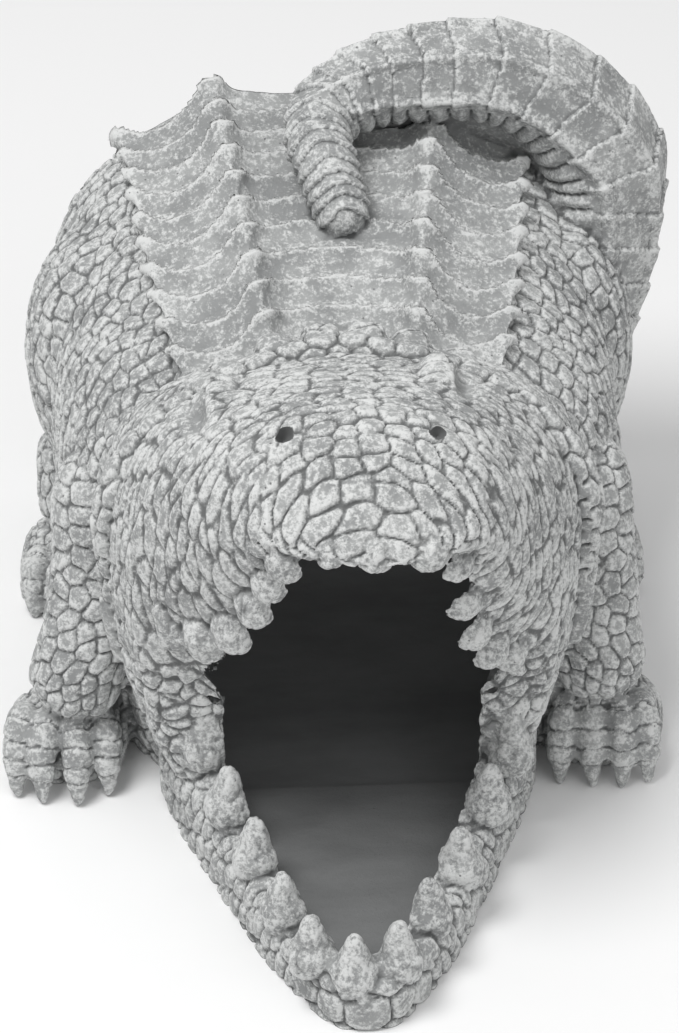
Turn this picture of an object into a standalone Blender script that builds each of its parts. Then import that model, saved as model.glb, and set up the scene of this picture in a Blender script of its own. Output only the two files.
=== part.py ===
"""A downspout extender cast as a squat crocodile, with a water tunnel from its open rear to its open mouth.

Run it with: blender --background --python part.py
The crocodile faces -Y, its rear stands against a wall at +Y, +X is on its left, and it rests on the plane z = 0.
The casting is one piece. Its figure is drawn on a grid, whose steps follow from the tunnel and the walls
around it, so the animal keeps its pose when the tunnel or a wall changes.
"""

import math

import bmesh
import bpy
import numpy as np
from mathutils import Vector
from mathutils.bvhtree import BVHTree

MM = 0.001

# Driving sizes of the casting
LENGTH = 268.5 * MM
TUNNEL_WIDTH = 120 * MM
TUNNEL_HEIGHT = 111 * MM
FLOOR = 9 * MM
FLOOR_STEP = 2 * MM
SIDE_WALL = 20 * MM
ROOF = 19 * MM
MOUTH_TUNNEL_WIDTH = 94 * MM
RIM_WALL = 12.5 * MM
SNOUT_WALL = 8 * MM
LIP_OPENING = 12 * MM
PALATE_RISE = 16 * MM
NOSTRIL_WIDTH = 4.4 * MM
NOSTRIL_DEPTH = 7 * MM

# Sizes of the carving
PLATE_ROWS = 10
PLATE_STEP = 1.8 * MM
KEEL_SPIKE = 3 * MM
PLATE_THICKNESS = 16 * MM
NAPE_SCUTES = 6
NAPE_SCUTE_WIDTH = 12 * MM
COLLAR_ROLL = 5.5 * MM
LOWER_TOOTH_WIDTH = 12.5 * MM
LOWER_TOOTH_HEIGHT = 15 * MM
TOOTH_SOCKET = 5 * MM
GUM_WIDTH = 14.4 * MM
UPPER_TOOTH_WIDTH = 12.4 * MM
TOE_WIDTH = 9 * MM
TAIL_STEP = 1.5 * MM
TAIL_PLATE = 11 * MM

# Fineness of the cast surface
VOXEL = 1.4 * MM
SURFACE_TRIANGLES = 9400
OVERCUT = 30 * MM

# The figure's grid, in steps: the drawn figure's length, and how far its flank stands out and its back up
DRAWN_LENGTH = 268.5
DRAWN_FLANK = 80
DRAWN_BACK = 139
GRID_X = (TUNNEL_WIDTH / 2 + SIDE_WALL) / DRAWN_FLANK
GRID_Y = LENGTH / DRAWN_LENGTH
GRID_Z = (FLOOR + TUNNEL_HEIGHT + ROOF) / DRAWN_BACK
# Levels and places on the grid: below the ground, the lowest hollow of the upper jaw, and the wall behind the rear
UNDERGROUND = -18
HOOD_BOTTOM = 57
WALL = 140
REAR = WALL * GRID_Y


def at(x, y, z):
    """The place of a point of the figure's grid, in metres."""
    return Vector((x * GRID_X, y * GRID_Y, z * GRID_Z))


def eased(xs, ys, x):
    """Values at x of a smooth curve through the points (xs, ys) that never overshoots them."""
    xs, ys = np.asarray(xs, float), np.asarray(ys, float)
    steps = np.diff(xs)
    slopes = np.diff(ys) / steps
    joined = slopes[:-1] * slopes[1:] > 0
    inner = np.zeros(len(slopes) - 1)
    inner[joined] = 2 * slopes[:-1][joined] * slopes[1:][joined] / (slopes[:-1] + slopes[1:])[joined]
    tangents = np.concatenate([[slopes[0]], inner, [slopes[-1]]])
    x = np.clip(x, xs[0], xs[-1])
    k = np.clip(np.searchsorted(xs, x, side="right") - 1, 0, len(steps) - 1)
    t = (x - xs[k]) / steps[k]
    h = steps[k]
    return (
        ys[k] * (1 + 2 * t) * (1 - t) ** 2
        + h * tangents[k] * t * (1 - t) ** 2
        + ys[k + 1] * t * t * (3 - 2 * t)
        + h * tangents[k + 1] * t * t * (t - 1)
    )


def column(table, k):
    return [row[k] for row in table]


def loft(bm, rings):
    """A closed skin over rings of points, its two ends closed by fans."""
    rows = [[bm.verts.new(p) for p in ring] for ring in rings]
    count = len(rows[0])
    faces = []
    for first, second in zip(rows, rows[1:]):
        for k in range(count):
            n = (k + 1) % count
            faces.append(bm.faces.new((first[k], first[n], second[n], second[k])))
    for row in (rows[0], rows[-1]):
        middle = bm.verts.new(sum((v.co for v in row), Vector()) / count)
        for k in range(count):
            faces.append(bm.faces.new((row[k], row[(k + 1) % count], middle)))
    bmesh.ops.recalc_face_normals(bm, faces=faces)


def power_curve(angle, power):
    """Cosine and sine of a rounded square: power 2 is a circle, and more is squarer."""
    c, s = math.cos(angle), math.sin(angle)
    return (
        math.copysign(abs(c) ** (2 / power), c),
        math.copysign(abs(s) ** (2 / power), s),
    )


def arch_ring(y, half_width, middle, top, bottom, power, sides=48):
    """An upright oval across the figure at y, in grid steps: widest at middle, and squarer with more power."""
    ring = []
    for k in range(sides):
        c, s = power_curve(2 * math.pi * k / sides, power)
        reach = top - middle if s > 0 else middle - bottom
        ring.append(at(c * half_width, y, middle + s * reach))
    return ring


def ellipsoid(bm, centre, radii, power=2.0, rings=14, sides=24):
    """An ellipsoid at a grid point, its radii in grid steps: squarer with more power."""
    x, y, z = centre
    rows = []
    for i in range(1, rings):
        flat, high = power_curve(math.pi * i / rings, power)
        rows.append(
            [
                at(
                    x + radii[0] * high * power_curve(2 * math.pi * k / sides, power)[0],
                    y + radii[1] * high * power_curve(2 * math.pi * k / sides, power)[1],
                    z + radii[2] * flat,
                )
                for k in range(sides)
            ]
        )
    loft(bm, rows)


def along_path(points, step):
    """Places along a smooth path through grid points, about step apart: (share along, place)."""
    places = [at(*p) for p in points]
    knots = [0.0]
    for a, b in zip(places, places[1:]):
        knots.append(knots[-1] + (b - a).length)
    count = max(4, round(knots[-1] / step))
    ends = [places[0] * 2 - places[1], *places, places[-1] * 2 - places[-2]]
    found = []
    for i in range(count + 1):
        s = knots[-1] * i / count
        k = min(int(np.searchsorted(knots, s, side="right")) - 1, len(places) - 2)
        t = (s - knots[k]) / (knots[k + 1] - knots[k])
        a, b, c, d = ends[k : k + 4]
        spot = b * 2 + (c - a) * t + (a * 2 - b * 5 + c * 4 - d) * t**2 + (b * 3 - a - c * 3 + d) * t**3
        found.append((s, spot / 2))
    return knots, found


def tube(bm, points, radii, facing=(0, 0, 1), profile=None, step=2.5 * MM, sides=24):
    """A closed round limb along a path, with domed ends. profile(along, angle) gives a share of its radius,
    where angle 0 is on the side that facing, one vector or one for each point, turns to."""
    knots, places = along_path(points, step)
    facings = [facing] * len(points) if isinstance(facing[0], (int, float)) else facing
    rings = []
    for i, (s, centre) in enumerate(places):
        before, after = places[max(i - 1, 0)][1], places[min(i + 1, len(places) - 1)][1]
        tangent = (after - before).normalized()
        out = Vector([float(eased(knots, column(facings, k), s)) for k in range(3)])
        out = (out - tangent * out.dot(tangent)).normalized()
        side = tangent.cross(out)
        radius = float(eased(knots, radii, s)) * GRID_X
        dome = min(1.0, min(s, knots[-1] - s) / radius)
        radius *= math.sqrt(max(0.02, 1 - (1 - dome) ** 2))
        ring = []
        for k in range(sides):
            angle = 2 * math.pi * k / sides
            r = radius * (profile(s, angle) if profile else 1.0)
            ring.append(centre + (out * math.cos(angle) + side * math.sin(angle)) * r)
        rings.append(ring)
    loft(bm, rings)


# Body

# Stations along the torso, from the neck to the wall: y, half width, top
TORSO = [(-10, 68, 122), (8, 81, 131), (35, 87, 138), (70, 90, 144), (100, 93, 148), (125, 92, 150), (150, 86, 149)]
# Stations along the head, from the snout to the neck: y, half width, top, height of the widest part, underside
# and sideways lean. In front of the mouth's corners the underside is the lip, and behind them it is below ground.
HEAD = [
    (-87.5, 6, 140, 139.2, 138.3, 5),
    (-85.5, 15, 143, 140, 137.8, 5),
    (-82, 25, 147, 140.5, 137, 4.5),
    (-77, 32, 152.5, 138.5, 130, 4),
    (-72, 37.5, 157, 133, 115, 3),
    (-67, 42.5, 161, 127, 98, 2),
    (-60, 49, 164.5, 119, 80, 1),
    (-54, 54, 165.3, 111, 66, 0),
    (-49, 58, 165, 105, 57, 0),
    (-46.5, 60, 164.5, 103, 42, 0),
    (-44.5, 61.5, 164, 101, 12, 0),
    (-42.5, 63, 163.6, 99, UNDERGROUND, -1),
    (-36, 66, 162, 96, UNDERGROUND, -1),
    (-22, 71, 158, 96, UNDERGROUND, -1),
    (-8, 73, 153, 96, UNDERGROUND, 0),
    (8, 73, 147, 96, UNDERGROUND, 0),
    (22, 70, 132, 96, UNDERGROUND, 0),
]
# Stations along the lower jaw, from its tip to the throat: y, half width, height of the rim
JAW = [
    (-128.5, 3, 13),
    (-127, 8, 16),
    (-122, 13.5, 18),
    (-114, 19.5, 19),
    (-104, 26, 20),
    (-89, 33, 21),
    (-74, 39.5, 23),
    (-58, 46, 26),
    (-48, 50, 31),
    (-38, 54, 38),
    (-20, 59, 42),
    (10, 56, 40),
]


def torso(bm):
    ys = np.linspace(TORSO[0][0], TORSO[-1][0], 40)
    wide = eased(column(TORSO, 0), column(TORSO, 1), ys)
    top = eased(column(TORSO, 0), column(TORSO, 2), ys)
    loft(bm, [arch_ring(y, w, 80, t, -40, 2.75) for y, w, t in zip(ys, wide, top)])


def head_station(y):
    """Half width, top, height of the widest part, underside and lean of the head at the grid's y."""
    return [float(eased(column(HEAD, 0), column(HEAD, k), y)) for k in range(1, 6)]


def head(bm):
    """The skull and cheeks, an oval hood whose lips curl in towards the mouth."""
    rings = []
    for y in np.linspace(HEAD[0][0], HEAD[-1][0], 90):
        wide, top, middle, under, lean = head_station(y)
        rings.append([p + at(lean, 0, 0) for p in arch_ring(y, wide, middle, top, under, 2.3)])
    loft(bm, rings)


def jaw(bm):
    ys = np.linspace(JAW[0][0], JAW[-1][0], 60)
    wide = eased(column(JAW, 0), column(JAW, 1), ys)
    rim = eased(column(JAW, 0), column(JAW, 2), ys)
    loft(bm, [arch_ring(y, w, 4, r, UNDERGROUND, 4.5) for y, w, r in zip(ys, wide, rim)])


def brows(bm):
    ellipsoid(bm, (-37, -25, 145.5), (6.5, 17, 8.5), power=2.8)
    ellipsoid(bm, (26.5, -21, 149), (6.5, 15, 8.5), power=2.8)


def collar(bm):
    """The rolled edge of skin behind the skull."""
    points = []
    for k in range(17):
        angle = math.radians(-18 + 216 * k / 16)
        c, s = power_curve(angle, 2.45)
        points.append((c * 72, 6 - 26 * abs(math.cos(angle)), 96 + s * (51 if s > 0 else 114)))
    radii = [COLLAR_ROLL / GRID_X * min(1.0, 0.4 + 0.3 * min(k, 16 - k)) for k in range(17)]
    tube(bm, points, radii, facing=(0, 1, 0), sides=14)


def nape(bm):
    """A cross row of squarish scutes between the skull and the back plate."""
    half = NAPE_SCUTE_WIDTH / GRID_X / 2
    for k in range(NAPE_SCUTES):
        x = (k - (NAPE_SCUTES - 1) / 2) * (2 * half + 1.5)
        ellipsoid(bm, (x, 12 - 0.004 * x * x, 145.5 - 0.0065 * x * x), (half, 5.5, 6), power=3.2)


# Back plate

PLATE_FRONT = 15
PLATE_HALF = [(PLATE_FRONT, 49), (60, 57), (WALL, 67)]
INNER_KEEL_SHARE = [(PLATE_FRONT, 0.43), (WALL, 0.54)]
INNER_KEEL = [(PLATE_FRONT, 142), (60, 151), (100, 157), (WALL, 160)]
OUTER_KEEL = [(PLATE_FRONT, 132.5), (60, 138.5), (100, 142), (WALL, 141.5)]
MIDDLE_SAG = 7
MIDDLE_CROWN = 1.2
FLANK_SAG = 4.8


def plate_height(y, u):
    """The plate's top over the grid at y, where u runs from -1 to 1 between its outer keels. Its surface hangs
    between four keels, and each of its cross rows rises to a free lip behind, highest on the keels."""
    share = float(eased(*zip(*INNER_KEEL_SHARE), y))
    inner = float(eased(*zip(*INNER_KEEL), y))
    outer = float(eased(*zip(*OUTER_KEEL), y))
    a = abs(u)
    if a < share:
        height = inner - MIDDLE_SAG * (1 - (a / share) ** 6) + MIDDLE_CROWN * (1 - (a / share) ** 2)
        near_keel = (a / share) ** 6
    else:
        s = (a - share) / (1 - share)
        height = inner + (outer - inner) * s - FLANK_SAG * math.sin(math.pi * s) ** 0.8
        near_keel = max(1 - s, s) ** 10
    row = (y - PLATE_FRONT) * PLATE_ROWS / (WALL - PLATE_FRONT) % 1.0
    return height + row * (PLATE_STEP + KEEL_SPIKE * near_keel * row) / GRID_Z


def back_plate(bm):
    columns = 60
    per_row = 5
    pitch = (WALL - PLATE_FRONT) / PLATE_ROWS
    hair = 0.06
    ys = [
        PLATE_FRONT + pitch * (i + min(max(k / (per_row - 1), hair), 1 - hair / 2))
        for i in range(PLATE_ROWS)
        for k in range(per_row)
    ]
    rings = []
    for y in ys:
        half = float(eased(*zip(*PLATE_HALF), y))
        us = [-1 + 2 * k / columns for k in range(columns + 1)]
        over = [at(half * u, y, plate_height(y, u)) for u in us]
        below = [Vector((p.x * 0.94, p.y, p.z - PLATE_THICKNESS)) for p in reversed(over)]
        rings.append(over + below)
    rings.append([p + Vector((0, OVERCUT / 2, 0)) for p in rings[-1]])
    loft(bm, rings)


# Limbs

FORELEG = [(61, 32, 92), (67, 19, 90), (72.5, 6, 67), (77.5, -4, 44), (80.5, -6, 22)]
FORELEG_RADII = [20, 21.5, 18.5, 15, 15]
# How far out each fore foot stands beyond the left one's place, and from what heights down its leg bends there
FOOT_OUT = {-1: 6.5, 1: 0}
FOOT_BEND = (67, 22)
# The claw points of the toes on each side: x, y and how far the toe turns out
FORE_TOES = {
    -1: [(75, -23, 0), (84.5, -27, 0), (95.5, -25.5, 1), (103.5, -22, 3)],
    1: [(66.5, -24.5, 0), (76.3, -26.3, 0), (85.7, -27, 1), (94, -25, 3)],
}
HIND_TOES = [(84, 66, 0), (92, 63, 0), (100, 67, 3)]
KNUCKLE_HEIGHT = 24
FOOT_MIDDLE = 82
# Shares of full width from the back of a toe over its knuckle to its claw's point
TOE_TAPER = [0.85, 1, 1.02, 0.94, 0.7, 0.3]


def toe(bm, tip, back, height, side, middle=FOOT_MIDDLE):
    """A bent toe from its knuckle down to its claw on the ground."""
    x, y, turn = tip
    radius = TOE_WIDTH / GRID_X / 2
    inward = 0.84 * x + 0.16 * middle
    points = [
        (inward - turn * 0.4, y + back, height * 0.62),
        (inward, y + back * 0.66, height * 0.9),
        (x * 0.97 + 2.5, y + 8, height * 0.76),
        (x, y + 3.4, height * 0.44),
        (x, y + 1.2, height * 0.2),
        (x, y - 0.3, -0.5),
    ]
    tube(bm, mirrored(points, side), [radius * share for share in TOE_TAPER], sides=16)


def mirrored(points, side):
    return [(side * x, y, z) for x, y, z in points]


def foreleg_path(side):
    """The leg's middle line, which bends out below its knee to the foot's own place."""
    high, low = FOOT_BEND
    bent = [min(1, max(0, (high - z) / (high - low))) for _, _, z in FORELEG]
    return [(side * (x + FOOT_OUT[side] * share), y, z) for (x, y, z), share in zip(FORELEG, bent)]


def forelegs(bm):
    for side in (-1, 1):
        tube(bm, foreleg_path(side), FORELEG_RADII)
        ellipsoid(bm, (side * (81.5 + FOOT_OUT[side]), -3, 9), (20, 15.5, 16), power=2.3)
        for tip in FORE_TOES[side]:
            toe(bm, tip, 21, KNUCKLE_HEIGHT, side, FOOT_MIDDLE + FOOT_OUT[side])


def hind_legs(bm):
    for side in (-1, 1):
        ellipsoid(bm, (side * 75, 97, 86), (24, 36, 44))
        tube(bm, mirrored([(76, 100, 60), (80, 96, 36), (85, 90, 14)], side), [22, 18, 15])
        ellipsoid(bm, (side * 91, 86, 6), (14, 21, 15), power=2.3)
        for tip in HIND_TOES:
            toe(bm, tip, 18, KNUCKLE_HEIGHT * 0.75, side)


# Tail

TAIL = [
    (66, 100, 40),
    (74, 106, 70),
    (83, 112, 98),
    (88.5, 115, 120),
    (88.5, 117, 142),
    (75, 119, 162),
    (55, 120, 173),
    (33, 120, 173.5),
    (14, 116, 172),
    (0, 107, 168),
    (-3.5, 97, 165),
    (-1.5, 87, 161),
    (2, 76, 154),
    (4, 66, 149),
]
TAIL_RADII = [22, 21, 20.5, 20, 19.5, 18, 16.5, 15.3, 13.5, 11.8, 10.6, 10, 9.2, 7.6]
TAIL_FACING = [
    (0.9, -0.3, 0.1),
    (0.9, -0.35, 0.1),
    (0.88, -0.4, 0.15),
    (0.82, -0.5, 0.25),
    (0.62, -0.6, 0.45),
    (0.25, -0.7, 0.66),
    (0.0, -0.7, 0.7),
    (0.0, -0.68, 0.72),
    (-0.1, -0.66, 0.74),
    (-0.25, -0.6, 0.76),
    (-0.3, -0.5, 0.8),
    (-0.1, -0.5, 0.85),
    (0.0, -0.5, 0.86),
    (0.0, -0.5, 0.86),
]
TAIL_KEELS = (-52, 0, 52)
KEEL_SHARE = 0.11


def turn_between(a, b):
    return abs((a - b + 180) % 360 - 180)


def tail_profile(along, angle):
    """A share of the tail's radius: three keels on its outer side, stepped plates between them and ribs below."""
    degrees = math.degrees(angle)
    keels = sum(math.exp(-((turn_between(degrees, k) / 11) ** 2)) for k in TAIL_KEELS)
    outer = 1 / (1 + math.exp((turn_between(degrees, 0) - 66) / 4))
    step = along / TAIL_PLATE % 1.0
    rib = abs(math.sin(math.pi * along / TAIL_PLATE * 1.25))
    plate = outer * step * TAIL_STEP + (1 - outer) * (rib - 0.5) * TAIL_STEP
    return 0.96 + KEEL_SHARE * keels + plate / (15 * GRID_X)


def tail(bm):
    tube(bm, TAIL, TAIL_RADII, facing=TAIL_FACING, profile=tail_profile, step=1.8 * MM, sides=40)
    web = [(82, 122, 122), (78, 127, 144), (55, 131, 157), (30, 131, 158), (8, 126, 157), (-4, 110, 153)]
    tube(bm, web, [15, 14, 13, 12.5, 10, 6])


# Teeth

# Where the lower teeth stand on the rim, and the tips, shares of full width and heights of the upper ones
LOWER_TEETH = [
    (-45, -41),
    (-38, -57),
    (-30.5, -76),
    (-23, -97),
    (-15.5, -114),
    (-3.5, -121.5),
    (9.5, -117.5),
    (19.5, -101),
    (30, -82),
    (40.5, -59),
    (48, -45),
]
UPPER_TEETH = [
    ((-48.5, -47, 80), 0.8, 19),
    ((-41.4, -54, 81), 1, 20),
    ((-34.2, -61, 88.5), 1.05, 20),
    ((-28.4, -67, 103), 1, 18),
    ((-24.6, -72.6, 115.5), 0.9, 16),
    ((-20, -76.5, 126), 1, 15),
    ((-8, -82.5, 135), 0.8, 10),
    ((4, -84, 134), 1, 12),
    ((18.8, -82.5, 132.3), 1.05, 13),
    ((26.6, -77, 124.5), 0.95, 14),
    ((29, -68, 104.5), 1, 16),
    ((32.5, -61, 88), 1, 18),
    ((38, -54, 75), 1, 18),
    ((45, -48, 68), 0.8, 16),
]


def tooth(bm, root, tip, width):
    """A blunt fat cone from root to tip, both in metres."""
    axis = tip - root
    long = axis.length
    axis.normalize()
    side = axis.orthogonal().normalized()
    across = axis.cross(side)
    rings = []
    for i in range(9):
        t = i / 8
        radius = width / 2 * (1 - 0.35 * t) * math.sqrt(max(0.01, 1 - t**3.2))
        rings.append(
            [
                root + axis * long * t
                + (side * math.cos(2 * math.pi * k / 14) + across * math.sin(2 * math.pi * k / 14)) * radius
                for k in range(14)
            ]
        )
    loft(bm, rings)


# How far the middle of a gum lies under the rim, in grid steps
GUM_DROP = 1.5


def rim_height(y):
    return float(eased(column(JAW, 0), column(JAW, 2), y))


def lower_teeth(bm):
    """Blunt stumps that stand on round gums along the jaw's rim."""
    gum = GUM_WIDTH / GRID_X / 2
    for x, y in LOWER_TEETH:
        root = at(x, y, rim_height(y)) - Vector((0, 0, TOOTH_SOCKET))
        tooth(bm, root, root + Vector((0, 0, TOOTH_SOCKET + LOWER_TOOTH_HEIGHT)), LOWER_TOOTH_WIDTH)
        ellipsoid(bm, (x, y, rim_height(y) - GUM_DROP), (gum, gum, gum), power=2.4)


def upper_teeth(bm):
    """Long lobes that start flush in the lips and curl in to their blunt tips."""
    skull = bmesh.new()
    head(skull)
    surface = BVHTree.FromBMesh(skull)
    skull.free()
    for tip, size, tall in UPPER_TEETH:
        radius = UPPER_TOOTH_WIDTH / GRID_X / 2 * size
        lobe = []
        for share, sunk in ((1.0, 0.6), (0.5, 0.2)):
            beside = at(tip[0], tip[1] + 0.4 * tall * share**1.4, tip[2] + tall * share)
            place, normal, _, _ = surface.find_nearest(beside)
            place -= normal * sunk * radius * GRID_X
            lobe.append((place.x / GRID_X, place.y / GRID_Y, place.z / GRID_Z))
        low = lobe[-1]
        lobe.append(tuple(t + (p - t) * 0.35 for p, t in zip(low, tip)))
        tube(bm, [*lobe, tip], [radius * 0.75, radius, radius * 0.9, radius * 0.4], step=1.5 * MM, sides=16)


# Solids

def solid(name, build):
    """An object whose mesh is made by the functions in build."""
    bm = bmesh.new()
    for make in build:
        make(bm)
    bmesh.ops.triangulate(bm, faces=bm.faces)
    mesh = bpy.data.meshes.new(name)
    bm.to_mesh(mesh)
    bm.free()
    obj = bpy.data.objects.new(name, mesh)
    bpy.context.scene.collection.objects.link(obj)
    return obj


def cutter(name, build):
    obj = solid(name, build)
    obj.hide_render = True
    obj.display_type = "WIRE"
    return obj


def block(bm, low, high):
    """A box between two corners, in metres."""
    rings = [
        [Vector((x, y, z)) for x, y in ((low[0], low[1]), (high[0], low[1]), (high[0], high[1]), (low[0], high[1]))]
        for z in (low[2], high[2])
    ]
    loft(bm, rings)


def subtract(obj, tool):
    cut = obj.modifiers.new(tool.name, "BOOLEAN")
    cut.operation = "DIFFERENCE"
    cut.object = tool
    cut.solver = "MANIFOLD"


def applied(obj):
    """The object's mesh after its modifiers, put in their place."""
    graph = bpy.context.evaluated_depsgraph_get()
    mesh = bpy.data.meshes.new_from_object(obj.evaluated_get(graph))
    obj.modifiers.clear()
    obj.data = mesh
    return obj


def ground_cut(bm):
    """All that is below the ground."""
    block(bm, Vector((-LENGTH, -LENGTH, -LENGTH)), Vector((LENGTH, LENGTH, 0)))


def wall_cut(bm):
    """All that is behind the wall's plane."""
    block(bm, Vector((-LENGTH, REAR, -LENGTH)), Vector((LENGTH, REAR + LENGTH, LENGTH)))


def tunnel_ring(y, half_width, floor, roof, power=3.0, sides=40):
    """A cross-section of the water way in metres: a flat floor, upright sides and a rounded roof."""
    ring = []
    spring = floor + (roof - floor) * 0.35
    for k in range(sides // 2 + 1):
        c, s = power_curve(math.pi * k / (sides // 2), power)
        ring.append(Vector((c * half_width, y, spring + s * (roof - spring))))
    for k in range(1, 4):
        ring.append(Vector((-half_width * (1 - 0.05 * k / 3), y, spring + (floor - spring) * k / 3)))
    for k in range(3, 0, -1):
        ring.append(Vector((half_width * (1 - 0.05 * k / 3), y, spring + (floor - spring) * k / 3)))
    return ring


def tunnel(bm):
    """The water way behind the mouth, from the throat out through the rear."""
    start = -34 * GRID_Y
    rings = []
    for k in range(9):
        t = k / 8
        y = start + (REAR - start) * t
        half = (MOUTH_TUNNEL_WIDTH + (TUNNEL_WIDTH - MOUTH_TUNNEL_WIDTH) * t) / 2
        rings.append(tunnel_ring(y, half, FLOOR, FLOOR + TUNNEL_HEIGHT))
    rings.append([p + Vector((0, OVERCUT, 0)) for p in rings[-1]])
    loft(bm, rings)


def trough_half(y):
    """Half the clear width between the jaw's rims at the grid's y, a rim wall inside the jaw's outline."""
    wide = float(eased(column(JAW, 0), column(JAW, 1), y)) * GRID_X
    return max(wide - RIM_WALL, 0.6 * MM)


def trough(bm):
    """The hollow of the lower jaw, open above, with a small step down in its floor behind the mouth."""
    rings = []
    for k in range(15):
        y = -117 + 109 * k / 14
        half = min(trough_half(y), MOUTH_TUNNEL_WIDTH / 2 - 0.5 * MM)
        floor = FLOOR + FLOOR_STEP * min(1.0, max(0.0, (4 - y) / 2))
        high = 74 * GRID_Z
        corners = ((half, high), (-half, high), (-half * 0.97, floor), (half * 0.97, floor))
        rings.append([Vector((x, y * GRID_Y, z)) for x, z in corners])
    loft(bm, rings)


def lips(bm):
    """The hollow behind the lips, a snout wall inside them and open below."""
    rings = []
    for y in np.linspace(-81.5, -44, 24):
        wide, top, middle, under, lean = head_station(y)
        half = wide - SNOUT_WALL / GRID_X
        roof = max(top - SNOUT_WALL / GRID_Z, middle + 1)
        low = max(under, HOOD_BOTTOM) - LIP_OPENING / GRID_Z
        rings.append([p + at(lean, 0, 0) for p in arch_ring(y, half, middle, roof, low, 2.3)])
    loft(bm, rings)


def palate(bm):
    """The hollow of the upper jaw over the tongue's place, a little higher than the tunnel."""
    rings = []
    for y in np.linspace(-47, -12, 9):
        wide, top, _, _, lean = head_station(y)
        half = min(wide * GRID_X - SNOUT_WALL, MOUTH_TUNNEL_WIDTH / 2 - 2 * MM)
        roof = min(FLOOR + TUNNEL_HEIGHT + PALATE_RISE, top * GRID_Z - SNOUT_WALL)
        ring = tunnel_ring(y * GRID_Y, half, HOOD_BOTTOM * GRID_Z, roof, power=2.5)
        rings.append([p + at(lean, 0, 0) for p in ring])
    loft(bm, rings)


NOSTRILS = [(-20, -58, 165), (23, -58, 165)]


def nostrils(bm):
    """Two small pits in the top of the snout, slanted back."""
    way = Vector((0, 0.55, -1)).normalized()
    for spot in NOSTRILS:
        surface = at(*spot)
        tooth(bm, surface - way * NOSTRIL_DEPTH * 1.5, surface + way * NOSTRIL_DEPTH, NOSTRIL_WIDTH * 2)


def stone():
    """Light grey cast stone, matt and slightly uneven."""
    material = bpy.data.materials.new("cast_stone")
    material.use_nodes = True
    shader = material.node_tree.nodes["Principled BSDF"]
    shader.inputs["Base Color"].default_value = (0.42, 0.43, 0.42, 1.0)
    shader.inputs["Roughness"].default_value = 0.85
    shader.inputs["Metallic"].default_value = 0.0
    return material


def one_skin(obj, smoothing):
    """One closed skin over all the forms of the object."""
    remesh = obj.modifiers.new("one_skin", "REMESH")
    remesh.mode = "VOXEL"
    remesh.voxel_size = VOXEL
    even = obj.modifiers.new("even", "SMOOTH")
    even.factor = 0.5
    even.iterations = smoothing
    return applied(obj)


def fewer_facets(obj, wanted):
    triangles = sum(len(p.vertices) - 2 for p in obj.data.polygons)
    fewer = obj.modifiers.new("facets", "DECIMATE")
    fewer.ratio = wanted / triangles
    return applied(obj)


def cut_by(obj, builds):
    for build in builds:
        subtract(obj, cutter(build.__name__, [build]))


FORMS = [
    torso,
    head,
    jaw,
    brows,
    collar,
    nape,
    back_plate,
    forelegs,
    hind_legs,
    tail,
    lower_teeth,
    upper_teeth,
]


def main():
    for obj in list(bpy.data.objects):
        bpy.data.objects.remove(obj)
    crocodile = one_skin(solid("crocodile", FORMS), 1)
    cut_by(crocodile, [trough, lips, palate])
    one_skin(applied(crocodile), 2)
    fewer_facets(crocodile, SURFACE_TRIANGLES)
    cut_by(crocodile, [ground_cut, wall_cut, tunnel, nostrils])
    crocodile.data.materials.clear()
    crocodile.data.materials.append(stone())
    crocodile.data.shade_smooth()


main()
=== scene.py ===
"""The look of the crocodile downspout extender: a dry-brushed cast-stone animal with its tunnel and teeth.

The casting is drawn in millimetres on the same figure as the CAD solids, joined into one fine skin, carved
with its scales and cut hollow, then handed over as pieces that stand in for the one CAD node.
"""

import math
from itertools import product

import bmesh
import bpy
import numpy as np
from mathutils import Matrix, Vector, kdtree
from mathutils.bvhtree import BVHTree


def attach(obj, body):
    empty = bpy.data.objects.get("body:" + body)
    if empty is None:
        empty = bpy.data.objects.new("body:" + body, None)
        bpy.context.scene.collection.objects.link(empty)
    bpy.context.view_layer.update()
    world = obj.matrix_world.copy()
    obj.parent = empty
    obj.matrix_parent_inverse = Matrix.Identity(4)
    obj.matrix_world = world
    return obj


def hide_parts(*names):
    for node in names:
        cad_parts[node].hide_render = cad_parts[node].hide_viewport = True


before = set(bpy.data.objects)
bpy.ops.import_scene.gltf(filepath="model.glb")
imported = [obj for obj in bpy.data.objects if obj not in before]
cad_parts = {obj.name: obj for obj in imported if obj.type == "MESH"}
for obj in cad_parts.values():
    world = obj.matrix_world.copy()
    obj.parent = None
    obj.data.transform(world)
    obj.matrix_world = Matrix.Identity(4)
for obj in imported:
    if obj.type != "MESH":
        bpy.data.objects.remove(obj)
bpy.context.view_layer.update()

MM = 0.001
VOXEL = 0.8

# Main sizes of the casting, in millimetres
LENGTH_BEHIND = 140
TUNNEL_WIDTH = 120
TUNNEL_HEIGHT = 111
FLOOR = 9
FLOOR_STEP = 2
MOUTH_TUNNEL_WIDTH = 94
RIM_WALL = 12.5
SNOUT_WALL = 8
HOOD_BOTTOM = 57
# How low the forms reach before they are cut off at the ground
GROUND = -18


# Curves and lofts

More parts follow.
